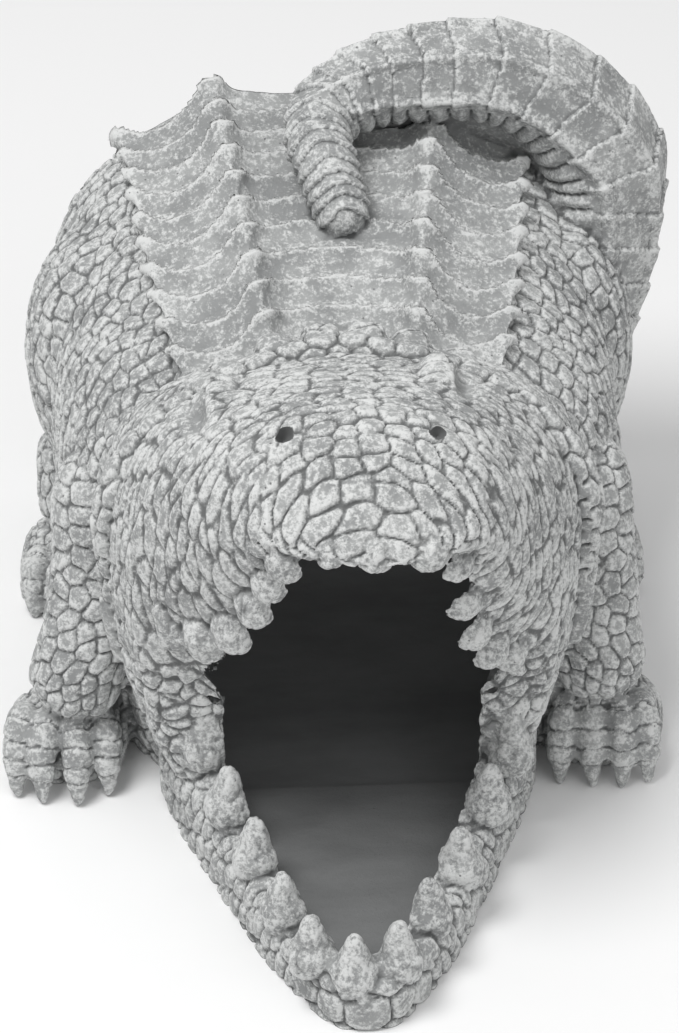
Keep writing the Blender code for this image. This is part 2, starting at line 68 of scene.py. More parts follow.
def eased(xs, ys, x):
    """Values at x of a smooth curve through the points (xs, ys) that never overshoots them."""
    xs, ys = np.asarray(xs, float), np.asarray(ys, float)
    steps = np.diff(xs)
    slopes = np.diff(ys) / steps
    joined = slopes[:-1] * slopes[1:] > 0
    inner = np.zeros(len(slopes) - 1)
    inner[joined] = 2 * slopes[:-1][joined] * slopes[1:][joined] / (slopes[:-1] + slopes[1:])[joined]
    tangents = np.concatenate([[slopes[0]], inner, [slopes[-1]]])
    x = np.clip(x, xs[0], xs[-1])
    k = np.clip(np.searchsorted(xs, x, side="right") - 1, 0, len(steps) - 1)
    t = (x - xs[k]) / steps[k]
    h = steps[k]
    return (
        ys[k] * (1 + 2 * t) * (1 - t) ** 2
        + h * tangents[k] * t * (1 - t) ** 2
        + ys[k + 1] * t * t * (3 - 2 * t)
        + h * tangents[k + 1] * t * t * (t - 1)
    )


def ramp(x, low, high):
    t = np.clip((x - low) / (high - low), 0, 1)
    return t * t * (3 - 2 * t)


def column(table, k):
    return [row[k] for row in table]


def at(table, k, x):
    """Column k of a table, on a smooth curve over its first column, at x."""
    return eased(column(table, 0), column(table, k), x)


def loft(bm, rings):
    """A closed skin over rings of points, its two ends closed by fans."""
    rows = [[bm.verts.new(p) for p in ring] for ring in rings]
    count = len(rows[0])
    faces = []
    for first, second in zip(rows, rows[1:]):
        for k in range(count):
            n = (k + 1) % count
            faces.append(bm.faces.new((first[k], first[n], second[n], second[k])))
    for row in (rows[0], rows[-1]):
        middle = bm.verts.new(sum((v.co for v in row), Vector()) / count)
        for k in range(count):
            faces.append(bm.faces.new((row[k], row[(k + 1) % count], middle)))
    bmesh.ops.recalc_face_normals(bm, faces=faces)


def power_curve(angle, power):
    """Cosine and sine of a rounded square: power 2 is a circle, and more is squarer."""
    c, s = math.cos(angle), math.sin(angle)
    return math.copysign(abs(c) ** (2 / power), c), math.copysign(abs(s) ** (2 / power), s)


def arch_ring(y, half_width, middle, top, bottom, power, lean=0.0, sides=96):
    ring = []
    for k in range(sides):
        c, s = power_curve(2 * math.pi * k / sides, power)
        reach = top - middle if s > 0 else middle - bottom
        ring.append(Vector((lean + c * half_width, y, middle + s * reach)))
    return ring


def ellipsoid(bm, centre, radii, power=2.0, rings=18, sides=36):
    x, y, z = centre
    rows = []
    for i in range(1, rings):
        flat, high = power_curve(math.pi * i / rings, power)
        row = []
        for k in range(sides):
            c, s = power_curve(2 * math.pi * k / sides, power)
            row.append(Vector((x + radii[0] * high * c, y + radii[1] * high * s, z + radii[2] * flat)))
        rows.append(row)
    loft(bm, rows)


def along_path(points, step):
    """Places along a smooth path through the points, about step apart, with their distance along it."""
    places = [Vector(p) for p in points]
    knots = [0.0]
    for a, b in zip(places, places[1:]):
        knots.append(knots[-1] + (b - a).length)
    count = max(4, round(knots[-1] / step))
    ends = [places[0] * 2 - places[1], *places, places[-1] * 2 - places[-2]]
    found = []
    for i in range(count + 1):
        s = knots[-1] * i / count
        k = min(int(np.searchsorted(knots, s, side="right")) - 1, len(places) - 2)
        t = (s - knots[k]) / (knots[k + 1] - knots[k])
        a, b, c, d = ends[k : k + 4]
        spot = b * 2 + (c - a) * t + (a * 2 - b * 5 + c * 4 - d) * t**2 + (b * 3 - a - c * 3 + d) * t**3
        found.append((s, spot / 2))
    return knots, found


def tube_frames(points, facing, step):
    """Distance along, middle, outward side and cross side at steps along a path. The outward side turns to
    facing, which is one vector or one for each point."""
    knots, places = along_path(points, step)
    facings = [facing] * len(points) if isinstance(facing[0], (int, float)) else facing
    frames = []
    for i, (s, centre) in enumerate(places):
        before, after = places[max(i - 1, 0)][1], places[min(i + 1, len(places) - 1)][1]
        tangent = (after - before).normalized()
        out = Vector([float(eased(knots, column(facings, k), s)) for k in range(3)])
        out = (out - tangent * out.dot(tangent)).normalized()
        frames.append((s, centre, out, tangent.cross(out), tangent))
    return knots, frames


def tube(bm, points, radii, facing=(0, 0, 1), profile=None, step=2.0, sides=32):
    """A closed round limb along a path, with domed ends. profile(along, angle) gives a share of its radius,
    where angle 0 is on its outward side."""
    knots, frames = tube_frames(points, facing, step)
    rings = []
    for s, centre, out, side, _ in frames:
        radius = float(eased(knots, radii, s))
        dome = min(1.0, min(s, knots[-1] - s) / radius)
        radius *= math.sqrt(max(0.02, 1 - (1 - dome) ** 2))
        ring = []
        for k in range(sides):
            angle = 2 * math.pi * k / sides
            r = radius * (profile(s, angle) if profile else 1.0)
            ring.append(centre + (out * math.cos(angle) + side * math.sin(angle)) * r)
        rings.append(ring)
    loft(bm, rings)


def tube_places(points, path, facing=(0, 0, 1), step=1.0):
    """For each point, its distance along a tube's middle, its turn from the outward side, and how far out it
    lies."""
    _, frames = tube_frames(path, facing, step)
    tree = kdtree.KDTree(len(frames))
    for k, one in enumerate(frames):
        tree.insert(one[1], k)
    tree.balance()
    index = [tree.find(p)[1] for p in points]
    along, centre, out, side, tangent = (np.array([one[k] for one in frames])[index] for k in range(5))
    off = points - centre
    turn = np.arctan2((off * side).sum(1), (off * out).sum(1))
    return along + (off * tangent).sum(1), turn, np.linalg.norm(off, axis=1)


# Body

# Stations along the torso, from the neck to the wall: y, half width, top
TORSO = [
    (-10, 68, 122),
    (8, 81, 131),
    (35, 87, 138),
    (70, 90, 144),
    (100, 93, 148),
    (125, 92, 150),
    (150, 86, 149),
]
TORSO_MIDDLE, TORSO_BOTTOM, TORSO_POWER = 80, -40, 2.75
# Stations along the head, from the snout to the neck: y, half width, top, widest height, bottom, lean
HEAD = [
    (-87.5, 6, 140, 139.2, 138.3, 5),
    (-85.5, 15, 143, 140, 137.8, 5),
    (-82, 25, 147, 140.5, 137, 4.5),
    (-77, 32, 152.5, 138.5, 130, 4),
    (-72, 37.5, 157, 133, 115, 3),
    (-67, 42.5, 161, 127, 98, 2),
    (-60, 49, 164.5, 119, 80, 1),
    (-54, 54, 165.3, 111, 66, 0),
    (-49, 58, 165, 105, 57, 0),
    (-46.5, 60, 164.5, 103, 42, 0),
    (-44.5, 61.5, 164, 101, 12, 0),
    (-42.5, 63, 163.6, 99, GROUND, -1),
    (-36, 66, 162, 96, GROUND, -1),
    (-22, 71, 158, 96, GROUND, -1),
    (-8, 73, 153, 96, GROUND, 0),
    (8, 73, 147, 96, GROUND, 0),
    (22, 70, 132, 96, GROUND, 0),
]
HEAD_POWER = 2.3
# Stations along the lower jaw, from its tip to the throat: y, half width, height of the rim
JAW = [
    (-128.5, 3, 13),
    (-127, 8, 16),
    (-122, 13.5, 18),
    (-114, 19.5, 19),
    (-104, 26, 20),
    (-89, 33, 21),
    (-74, 39.5, 23),
    (-58, 46, 26),
    (-48, 50, 31),
    (-38, 54, 38),
    (-20, 59, 42),
    (10, 56, 40),
]
JAW_MIDDLE, JAW_POWER = 4, 4.5
# Middle and radii of each brow
BROWS = [((-37, -25, 145.5), (6.5, 17, 8.5)), ((26.5, -21, 149), (6.5, 15, 8.5))]


def torso(bm):
    rings = []
    for y in np.linspace(TORSO[0][0], TORSO[-1][0], 60):
        rings.append(arch_ring(y, at(TORSO, 1, y), TORSO_MIDDLE, at(TORSO, 2, y), TORSO_BOTTOM, TORSO_POWER))
    loft(bm, rings)


def head_station(y):
    return [float(at(HEAD, k, y)) for k in range(1, 6)]


def head(bm):
    rings = []
    for y in np.linspace(HEAD[0][0], HEAD[-1][0], 90):
        wide, top, middle, bottom, lean = head_station(y)
        rings.append(arch_ring(y, wide, middle, top, bottom, HEAD_POWER, lean))
    loft(bm, rings)


def jaw(bm):
    rings = []
    for y in np.linspace(JAW[0][0], JAW[-1][0], 80):
        rings.append(arch_ring(y, at(JAW, 1, y), JAW_MIDDLE, at(JAW, 2, y), GROUND, JAW_POWER))
    loft(bm, rings)


def brows(bm):
    for middle, radii in BROWS:
        ellipsoid(bm, middle, radii, power=2.8)


COLLAR_STEPS = 24
COLLAR_RADIUS = 5.2
COLLAR_HALF, COLLAR_MIDDLE, COLLAR_RISE, COLLAR_DROP = 72, 96, 51, 114


def collar_path():
    points = []
    for k in range(COLLAR_STEPS + 1):
        angle = math.radians(-18 + 216 * k / COLLAR_STEPS)
        c, s = power_curve(angle, 2.45)
        z = COLLAR_MIDDLE + s * (COLLAR_RISE if s > 0 else COLLAR_DROP)
        points.append((c * COLLAR_HALF, 6 - 26 * abs(math.cos(angle)), z))
    return points


def collar(bm):
    """The rolled edge of skin behind the skull."""
    ends = [min(k, COLLAR_STEPS - k) for k in range(COLLAR_STEPS + 1)]
    radii = [COLLAR_RADIUS * min(1.0, 0.4 + 0.2 * end) for end in ends]
    tube(bm, collar_path(), radii, facing=(0, 1, 0), step=1.5, sides=24)


NAPE_SCUTES, SCUTE_PITCH = 6, 13.5


def nape(bm):
    """A cross row of squarish scutes between the skull and the back plate."""
    for k in range(NAPE_SCUTES):
        x = (k - (NAPE_SCUTES - 1) / 2) * SCUTE_PITCH
        ellipsoid(bm, (x, 12 - 0.004 * x * x, 145.5 - 0.0065 * x * x), (6, 5.5, 6), power=3.2)


# Back plate

PLATE_ROWS = 10
PLATE_STEP = 2.9
KEEL_SPIKE = 2.2
PLATE_FRONT, PLATE_END = 15, 140
PLATE_HALF = [(15, 49), (60, 57), (140, 67)]
INNER_KEEL_SHARE = [(15, 0.43), (140, 0.54)]
INNER_KEEL = [(15, 142), (60, 151), (100, 157), (140, 160)]
OUTER_KEEL = [(15, 132.5), (60, 138.5), (100, 142), (140, 141.5)]
MIDDLE_DROP = 7
MIDDLE_CROWN = 1.2
FLANK_SAG = 4.8
KEEL_WIDTH = 4.2
ROW_BOW_MIDDLE = 9
ROW_BOW_FLANK = 4.5


def plate_place(y, u):
    """Where a point of the plate lies: its share out to the inner keel, its share on from there to the outer
    one, and its distance in millimetres from the nearest keel line."""
    share = at(INNER_KEEL_SHARE, 1, y)
    half = at(PLATE_HALF, 1, y)
    a = np.abs(u)
    inside = np.clip(a / share, 0, 1)
    beyond = np.clip((a - share) / (1 - share), 0, 1)
    off = np.minimum(np.abs(a - share), np.abs(1 - a)) * half
    return inside, beyond, off, np.abs(a - share) * half


def plate_height(y, u):
    """The plate's top over its rows' middle, where u runs from -1 to 1 between its outer keels."""
    inner, outer = at(INNER_KEEL, 1, y), at(OUTER_KEEL, 1, y)
    inside, beyond, _, from_inner = (float(v) for v in plate_place(y, u))
    height = inner + PLATE_STEP / 2
    if inside < 1:
        return height - MIDDLE_DROP * (1 - math.exp(-from_inner / 5)) + MIDDLE_CROWN * (1 - inside**2)
    return height + (outer - inner) * beyond - FLANK_SAG * math.sin(math.pi * beyond) ** 0.7


def plate_rows(x, y, wave):
    """How many cross rows a point lies behind the plate's front, each row's free lip at a whole number."""
    u = np.clip(x / at(PLATE_HALF, 1, y), -1, 1)
    inside, beyond, off, _ = plate_place(y, u)
    fade = ramp(-y, -130, -60)
    bow = ROW_BOW_MIDDLE * (1 - inside**2.5) * (0.35 + 0.65 * fade) - ROW_BOW_FLANK * np.sin(np.pi * beyond)
    rows = (y - bow + wave - PLATE_FRONT) * PLATE_ROWS / (PLATE_END - PLATE_FRONT)
    return rows, off


def back_plate(bm):
    columns = 140
    rings = []
    for y in np.linspace(PLATE_FRONT, PLATE_END + 15, 60):
        half = at(PLATE_HALF, 1, y)
        us = [-1 + 2 * k / columns for k in range(columns + 1)]
        over = [Vector((half * u, y, plate_height(y, u))) for u in us]
        below = [Vector((p.x * 0.94, p.y, p.z - 16)) for p in reversed(over)]
        rings.append(over + below)
    loft(bm, rings)


# Limbs

FORELEG = [(61, 32, 92), (67, 19, 90), (72.5, 6, 67), (77.5, -4, 44), (80.5, -6, 22)]
FORELEG_RADII = [20, 21.5, 18.5, 15, 15]
ELBOW = 67
HIND_LEG = [(76, 100, 60), (80, 96, 36), (85, 90, 14)]
# How far out each fore foot stands, and where its middle is
FOOT_OUT = {-1: 6.5, 1: 0}
FOOT_MIDDLE = 82
FORE_TOES = {
    -1: [(75, -23, 0), (84.5, -27, 0), (95.5, -25.5, 1), (103.5, -22, 3)],
    1: [(66.5, -24.5, 0), (76.3, -26.3, 0), (85.7, -27, 1), (94, -25, 3)],
}
HIND_TOES = [(84, 66, 0), (92, 63, 0), (100, 67, 3)]
TOE_RADII = [3.8, 4.5, 4.6, 4.2, 3.1, 1.3]
CLAW = 9


def toe_path(tip, back, height, middle=FOOT_MIDDLE):
    """From the back of the foot over the knuckle down to the claw's point."""
    x, y, turn = tip
    inward = 0.84 * x + 0.16 * middle
    return [
        (inward - turn * 0.4, y + back, height * 0.62),
        (inward, y + back * 0.66, height * 0.9),
        (x * 0.97 + 2.5, y + 8, height * 0.76),
        (x, y + 3.4, height * 0.44),
        (x, y + 1.2, height * 0.2),
        (x, y - 0.3, -0.5),
    ]


def mirrored(points, side):
    return [(side * x, y, z) for x, y, z in points]


def foreleg_path(side):
    out = FOOT_OUT[side]
    return [(side * (x + out * min(1, max(0, (ELBOW - z) / 45))), y, z) for x, y, z in FORELEG]


def forelegs(bm):
    for side in (-1, 1):
        tube(bm, foreleg_path(side), FORELEG_RADII)


def hind_legs(bm):
    for side in (-1, 1):
        ellipsoid(bm, (side * 75, 97, 86), (24, 36, 44))
        tube(bm, mirrored(HIND_LEG, side), [22, 18, 15])


def feet(bm):
    for side in (-1, 1):
        ellipsoid(bm, (side * (81.5 + FOOT_OUT[side]), -3, 9), (20, 15.5, 16), power=2.3)
        ellipsoid(bm, (side * 91, 86, 6), (14, 21, 15), power=2.3)


def toe_paths():
    paths = []
    for side in (-1, 1):
        middle = FOOT_MIDDLE + FOOT_OUT[side]
        paths += [mirrored(toe_path(tip, 21, 24, middle), side) for tip in FORE_TOES[side]]
        paths += [mirrored(toe_path(tip, 18, 18), side) for tip in HIND_TOES]
    return paths


def toes(bm):
    for path in toe_paths():
        tube(bm, path, TOE_RADII, step=0.8, sides=20)


# Tail

# The tail's middle from its root to its tip, its radius, and the way its outer side faces
TAIL = [
    ((66, 100, 40), 22, (0.9, -0.3, 0.1)),
    ((74, 106, 70), 21, (0.9, -0.35, 0.1)),
    ((83, 112, 98), 20.5, (0.88, -0.4, 0.15)),
    ((88.5, 115, 120), 20, (0.82, -0.5, 0.25)),
    ((88.5, 117, 142), 19.5, (0.62, -0.6, 0.45)),
    ((75, 119, 162), 18, (0.25, -0.7, 0.66)),
    ((55, 120, 173), 16.5, (0.0, -0.7, 0.7)),
    ((33, 120, 173.5), 15.3, (0.0, -0.68, 0.72)),
    ((14, 116, 172), 13.5, (-0.1, -0.66, 0.74)),
    ((0, 107, 168), 11.8, (-0.25, -0.6, 0.76)),
    ((-3.5, 97, 165), 10.6, (-0.3, -0.5, 0.8)),
    ((-1.5, 87, 161), 10, (-0.1, -0.5, 0.85)),
    ((2, 76, 154), 9.2, (0.0, -0.5, 0.86)),
    ((4, 66, 149), 7.6, (0.0, -0.5, 0.86)),
]
TAIL_MIDDLE, TAIL_RADII, TAIL_FACING = zip(*TAIL)
TAIL_KEELS = (-52, 0, 52)
TAIL_TIP_START = 214


def turn_between(a, b):
    return np.abs((a - b + 180) % 360 - 180)


def tail_profile(along, angle):
    """A share of the tail's radius: it stands out a little on its three keels."""
    degrees = math.degrees(angle)
    keels = sum(math.exp(-((turn_between(degrees, k) / 9) ** 2)) for k in TAIL_KEELS)
    tip = 1 / (1 + math.exp((TAIL_TIP_START - along) / 4))
    return 0.98 + 0.09 * keels * (1 - 0.7 * tip)


def tail(bm):
    tube(bm, TAIL_MIDDLE, TAIL_RADII, facing=TAIL_FACING, profile=tail_profile, step=1.5, sides=96)


WEB = [(82, 122, 122), (78, 127, 144), (55, 131, 157), (30, 131, 158), (8, 126, 157), (-4, 110, 153)]
WEB_RADII = [15, 14, 13, 12.5, 10, 6]


def tail_root(bm):
    """The stone that joins the tail's root to the rear of the back."""
    tube(bm, WEB, WEB_RADII)


# Teeth

LOWER_TEETH = [
    *((-45, -41), (-38, -57), (-30.5, -76), (-23, -97), (-15.5, -114), (-3.5, -121.5)),
    *((9.5, -117.5), (19.5, -101), (30, -82), (40.5, -59), (48, -45)),
]
LOWER_TOOTH_WIDTH, LOWER_TOOTH_HEIGHT, TOOTH_SOCKET = 12.5, 15, 5
GUM_RADIUS, GUM_DROP = 7.2, 1.5
UPPER_TOOTH_WIDTH = 12.4
# The tips, shares of full width and heights of the upper teeth
UPPER_TEETH = [
    ((-48.5, -47, 80), 0.8, 19),
    ((-41.4, -54, 81), 1, 20),
    ((-34.2, -61, 88.5), 1.05, 20),
    ((-28.4, -67, 103), 1, 18),
    ((-24.6, -72.6, 115.5), 0.9, 16),
    ((-20, -76.5, 126), 1, 15),
    ((-8, -82.5, 135), 0.8, 10),
    ((4, -84, 134), 1, 12),
    ((18.8, -82.5, 132.3), 1.05, 13),
    ((26.6, -77, 124.5), 0.95, 14),
    ((29, -68, 104.5), 1, 16),
    ((32.5, -61, 88), 1, 18),
    ((38, -54, 75), 1, 18),
    ((45, -48, 68), 0.8, 16),
]


def cone(bm, root, tip, width):
    """A blunt fat cone from root to tip."""
    axis = tip - root
    long = axis.length
    axis.normalize()
    side = axis.orthogonal().normalized()
    across = axis.cross(side)
    turn = [2 * math.pi * k / 24 for k in range(24)]
    round_about = [side * math.cos(a) + across * math.sin(a) for a in turn]
    rings = []
    for i in range(15):
        t = i / 14
        radius = width / 2 * (1 - 0.35 * t) * math.sqrt(max(0.01, 1 - t**3.2))
        rings.append([root + axis * long * t + way * radius for way in round_about])
    loft(bm, rings)


def lower_teeth(bm):
    """Fat blunt teeth on the jaw's rim, each with a round gum."""
    for x, y in LOWER_TEETH:
        root = Vector((x, y, at(JAW, 2, y) - TOOTH_SOCKET))
        cone(bm, root, root + Vector((0, 0, TOOTH_SOCKET + LOWER_TOOTH_HEIGHT)), LOWER_TOOTH_WIDTH)
        ellipsoid(bm, root + Vector((0, 0, TOOTH_SOCKET - GUM_DROP)), [GUM_RADIUS] * 3, power=2.4)


def upper_teeth(bm):
    """Lobes that start flush in the lips and curl in to their blunt tips."""
    skull = bmesh.new()
    head(skull)
    surface = BVHTree.FromBMesh(skull)
    for tip, size, tall in UPPER_TEETH:
        tip = Vector(tip)
        radius = UPPER_TOOTH_WIDTH / 2 * size
        points = []
        for share, recess_coat_and_shade in ((1.0, 0.6), (0.5, 0.2)):
            beside = tip + Vector((0, 0.4 * tall * share**1.4, tall * share))
            place, normal, _, _ = surface.find_nearest(beside)
            points.append(place - normal * recess_coat_and_shade * radius)
        points += [tip + (points[-1] - tip) * 0.35, tip]
        tube(bm, points, [radius * 0.75, radius, radius * 0.9, radius * 0.4], step=0.8, sides=24)


# Cutters

def tunnel_ring(y, half_width, floor, roof, power=3.0, sides=60):
    """A cross-section of the water way: a flat floor, upright sides and a rounded roof."""
    ring = []
    spring = floor + (roof - floor) * 0.35
    for k in range(sides // 2 + 1):
        c, s = power_curve(math.pi * k / (sides // 2), power)
        ring.append(Vector((c * half_width, y, spring + s * (roof - spring))))
    for side, k in ((-1, 1), (-1, 2), (-1, 3), (1, 3), (1, 2), (1, 1)):
        ring.append(Vector((side * half_width * (1 - 0.05 * k / 3), y, spring + (floor - spring) * k / 3)))
    return ring


TUNNEL_START = -34


def tunnel(bm):
    rings = []
    for k in range(9):
        t = k / 8
        y = TUNNEL_START + (LENGTH_BEHIND - TUNNEL_START) * t
        half = (MOUTH_TUNNEL_WIDTH + (TUNNEL_WIDTH - MOUTH_TUNNEL_WIDTH) * t) / 2
        rings.append(tunnel_ring(y, half, FLOOR, FLOOR + TUNNEL_HEIGHT))
    rings.append([p + Vector((0, 30, 0)) for p in rings[-1]])
    loft(bm, rings)


TROUGH_FRONT, TROUGH_LENGTH = -117, 109


def trough(bm):
    rings = []
    floor = FLOOR + FLOOR_STEP
    for k in range(25):
        y = TROUGH_FRONT + TROUGH_LENGTH * k / 24
        half = min(max(at(JAW, 1, y) - RIM_WALL, 0.6), MOUTH_TUNNEL_WIDTH / 2 - 0.5)
        corners = ((half, 74), (-half, 74), (-half * 0.97, floor), (half * 0.97, floor))
        rings.append([Vector((x, y, z)) for x, z in corners])
    loft(bm, rings)


def kept_block(bm):
    """All that stands above the ground and in front of the wall."""
    corners = ((-200, -220), (200, -220), (200, LENGTH_BEHIND), (-200, LENGTH_BEHIND))
    loft(bm, [[Vector((x, y, z)) for x, y in corners] for z in (0, 300)])


LIP_OPENING = 12
PALATE_RISE = 16


def hood_front(bm):
    """The hollow behind the lips, open below."""
    rings = []
    for y in np.linspace(-81.5, -44, 30):
        wide, top, middle, bottom, lean = head_station(y)
        low = max(bottom, HOOD_BOTTOM) - LIP_OPENING
        roof = max(top - SNOUT_WALL, middle + 1)
        rings.append(arch_ring(y, wide - SNOUT_WALL, middle, roof, low, HEAD_POWER, lean))
    loft(bm, rings)


def hood_back(bm):
    rings = []
    for y in np.linspace(-47, -12, 12):
        wide, top, _, _, lean = head_station(y)
        half = min(wide - SNOUT_WALL, MOUTH_TUNNEL_WIDTH / 2 - 2)
        roof = min(FLOOR + TUNNEL_HEIGHT + PALATE_RISE, top - SNOUT_WALL)
        rings.append([p + Vector((lean, 0, 0)) for p in tunnel_ring(y, half, HOOD_BOTTOM, roof, power=2.5)])
    loft(bm, rings)


NOSTRILS = [(-20, -58, 165), (23, -58, 165)]


def nostrils(bm):
    way = Vector((0, 0.55, -1)).normalized()
    for place in NOSTRILS:
        cone(bm, Vector(place) - way * 10, Vector(place) + way * 8, 9)


# Mesh steps

def placed(name, data):
    obj = bpy.data.objects.new(name, data)
    bpy.context.scene.collection.objects.link(obj)
    return obj


def solid(name, *builds):
    bm = bmesh.new()
    for build in builds:
        build(bm)
    bmesh.ops.triangulate(bm, faces=bm.faces)
    mesh = bpy.data.meshes.new(name)
    bm.to_mesh(mesh)
    return placed(name, mesh)


def applied(obj):
    graph = bpy.context.evaluated_depsgraph_get()
    mesh = bpy.data.meshes.new_from_object(obj.evaluated_get(graph))
    obj.modifiers.clear()
    old = obj.data
    obj.data = mesh
    bpy.data.meshes.remove(old)
    return obj


def remeshed(obj, voxel, smoothing):
    remesh = obj.modifiers.new("one_skin", "REMESH")
    remesh.mode = "VOXEL"
    remesh.voxel_size = voxel
    even = obj.modifiers.new("even", "SMOOTH")
    even.factor = 0.5
    even.iterations = smoothing
    return applied(obj)


def carved(obj, operation, *builds):
    """The object after each form in builds is cut from it, or after only what lies inside it is kept."""
    bare_and_shaded = bpy.data.materials.get("bare_stone_and_shade") or bare_stone_and_shade()
    for build in builds:
        tool = solid(build.__name__, build)
        tool.data.materials.append(bare_and_shaded)
        cut = obj.modifiers.new(tool.name, "BOOLEAN")
        cut.operation = operation
        cut.object = tool
        cut.solver = "MANIFOLD"
        applied(obj)
        bpy.data.objects.remove(tool)
    return obj


FORMS = {
    "torso": [torso, hind_legs],
    "head": [head, brows],
    "jaw": [jaw],
    "collar": [collar],
    "nape": [nape],
    "plate": [back_plate],
    "foreleg": [forelegs],
    "foot": [feet],
    "toe": [toes],
    "tail": [tail],
    "web": [tail_root],
    "low_tooth": [lower_teeth],
    "high_tooth": [upper_teeth],
}
LABELS = list(FORMS)


def array_of(items, key, wide=1, kind=np.float32):
    """One property of a mesh's points, edges or faces, as wide numbers for each."""
    flat = np.empty(len(items) * wide, kind)
    items.foreach_get(key, flat)
    return flat.reshape(-1, wide) if wide > 1 else flat


def points_of(mesh):
    return array_of(mesh.vertices, "co", 3).astype(float)


def normals_of(mesh):
    return array_of(mesh.vertex_normals, "vector", 3).astype(float)


def spread(values, edges, times):
    """Values averaged with their neighbours' along the edges, a number of times."""
    count = len(values)
    degree = np.bincount(edges.ravel(), minlength=count)
    for _ in range(times):
        total = np.bincount(edges[:, 0], weights=values[edges[:, 1]], minlength=count)
        total += np.bincount(edges[:, 1], weights=values[edges[:, 0]], minlength=count)
        values = 0.5 * values + 0.5 * total / np.maximum(degree, 1)
    return values


def form_cloud():
    """Points on each form, and the number of the form that each lies on."""
    clouds, labels = [], []
    for number, name in enumerate(LABELS):
        bm = bmesh.new()
        for build in FORMS[name]:
            build(bm)
        bmesh.ops.triangulate(bm, faces=bm.faces)
        clouds += [tuple(face.calc_center_median()) for face in bm.faces]
        labels += [number] * len(bm.faces)
    return np.array(clouds), np.array(labels)


def nearest_forms(points):
    """For each point, the number of the form that it lies nearest to, and how far away that is."""
    clouds, labels = form_cloud()
    tree = kdtree.KDTree(len(clouds))
    for k, p in enumerate(clouds):
        tree.insert(p, k)
    tree.balance()
    found = [tree.find(p)[1:] for p in points]
    return labels[[k for k, _ in found]], np.array([far for _, far in found])


# Patterns

def hashed(i, j, salt):
    """A repeatable number from 0 to 1 for each pair of whole numbers."""
    n = (i.astype(np.int64) * 73856093) ^ (j.astype(np.int64) * 19349663) ^ (salt * 83492791)
    n = (n ^ (n >> 13)) * 1274126177
    n = n ^ (n >> 16)
    return (n & 0xFFFFF) / 0xFFFFF


def noise(points, size, salt):
    """Smooth noise from -1 to 1, with lumps of about this size."""
    p = points / size
    base = np.floor(p).astype(np.int64)
    t = p - base
    t = t * t * (3 - 2 * t)
    total = np.zeros(len(points))
    for step in product((0, 1), repeat=3):
        x, y, z = (base + step).T
        near = [t[:, k] if step[k] else 1 - t[:, k] for k in range(3)]
        total += hashed(x, y + 57 * z, salt) * (near[0] * near[1] * near[2])
    return total * 2 - 1


def cells(a, b, size_a, size_b, salt, jitter=0.55, power=2.6, stagger=0.5):
    """A staggered net of scales over the coordinates a and b. It gives the distance to the nearest groove in
    millimetres, how far out from its scale's middle a point is, and its place in that scale."""
    u, v = a / size_a, b / size_b
    first, second = np.full(len(a), 9.0), np.full(len(a), 9.0)
    out_u, out_v, name = np.zeros((3, len(a)))
    for dr, dc in product((-1, 0, 1), repeat=2):
        r = np.floor(v).astype(np.int64) + dr
        shift = stagger * (r % 2) + 0.3 * hashed(r, r * 0 + 5, salt)
        c = np.floor(u - shift).astype(np.int64) + dc
        du = u - (c + 0.5 + shift + jitter * (hashed(c, r, salt) - 0.5))
        dv = v - (r + 0.5 + jitter * (hashed(c, r, salt + 1) - 0.5))
        far = (np.abs(du) ** power + np.abs(dv) ** power) ** (1 / power)
        closer = far < first
        second = np.where(closer, first, np.minimum(second, far))
        out_u, out_v = np.where(closer, du, out_u), np.where(closer, dv, out_v)
        name = np.where(closer, hashed(c, r, salt + 2), name)
        first = np.where(closer, far, first)
    return (second - first) / 2 * min(size_a, size_b), first, out_u, out_v, name


def scales(a, b, size_a, size_b, salt, depth, width=0.9, overlap=(0.0, 0.0), dome=0.5, **kind):
    """Relief of scales: their height, and how far each point is from a groove."""
    groove, out, du, dv, name = cells(a, b, size_a, size_b, salt, **kind)
    top = ramp(groove, 0.0, width)
    lap = (overlap[0] * du + overlap[1] * dv) * top
    return depth * (top - 1) - dome * out**2 + lap + (name - 0.5) * 0.3, groove


def lumps(points, size, salt):
    """Irregular cells in space: the distance to the nearest groove in millimetres, and how far out in its
    cell a point is."""
    p = points / size
    base = np.floor(p).astype(np.int64)
    first, second = np.full(len(p), 9.0), np.full(len(p), 9.0)
    for step in product((-1, 0, 1), repeat=3):
        cell = base + step
        key = cell[:, 1] + 57 * cell[:, 2]
        far = np.zeros(len(p))
        for k in range(3):
            middle = cell[:, k] + 0.5 + 0.85 * (hashed(cell[:, 0], key, salt + k) - 0.5)
            far += (p[:, k] - middle) ** 2
        second = np.minimum(second, np.maximum(first, far))
        first = np.minimum(first, far)
    first, second = np.sqrt(first), np.sqrt(second)
    return (second - first) / 2 * size, first


def beaded(points):
    """Relief of irregular beads with slightly raised rims."""
    groove, out = lumps(points, 6.4, 51)
    raised = 0.15 * np.exp(-(((groove - 1.1) / 0.5) ** 2))
    return ramp(groove, 0.0, 0.9) - 1 - 0.7 * out**2 + raised, groove


def warps(points, coarse=1.0):
    """Two smooth shifts that keep a pattern from looking ruled."""
    a = coarse * 2.2 * noise(points, 14, 1) + 0.8 * noise(points, 5, 2)
    b = coarse * 2.2 * noise(points, 14, 3) + 0.8 * noise(points, 5, 4)
    return a, b


def flank_scales(points):
    """Rows of overlapping scales around the barrel."""
    x, y, z = points.T
    a, b = warps(points)
    turn = np.arctan2(x, z - 80) * 92
    return scales(turn + a, y + 0.25 * np.abs(turn) + b, 7.2, 6.6, 11, 0.85, width=0.8, overlap=(0.0, -0.8))


def plain_skin(points):
    return np.zeros(len(points)), np.full(len(points), 3.0)


HEAD_STATIONS = np.linspace(HEAD[0][0], HEAD[-1][0], 240)
EYES = [(-45, -27, 147, 0.1), (33.6, -21, 149.5, -0.1)]


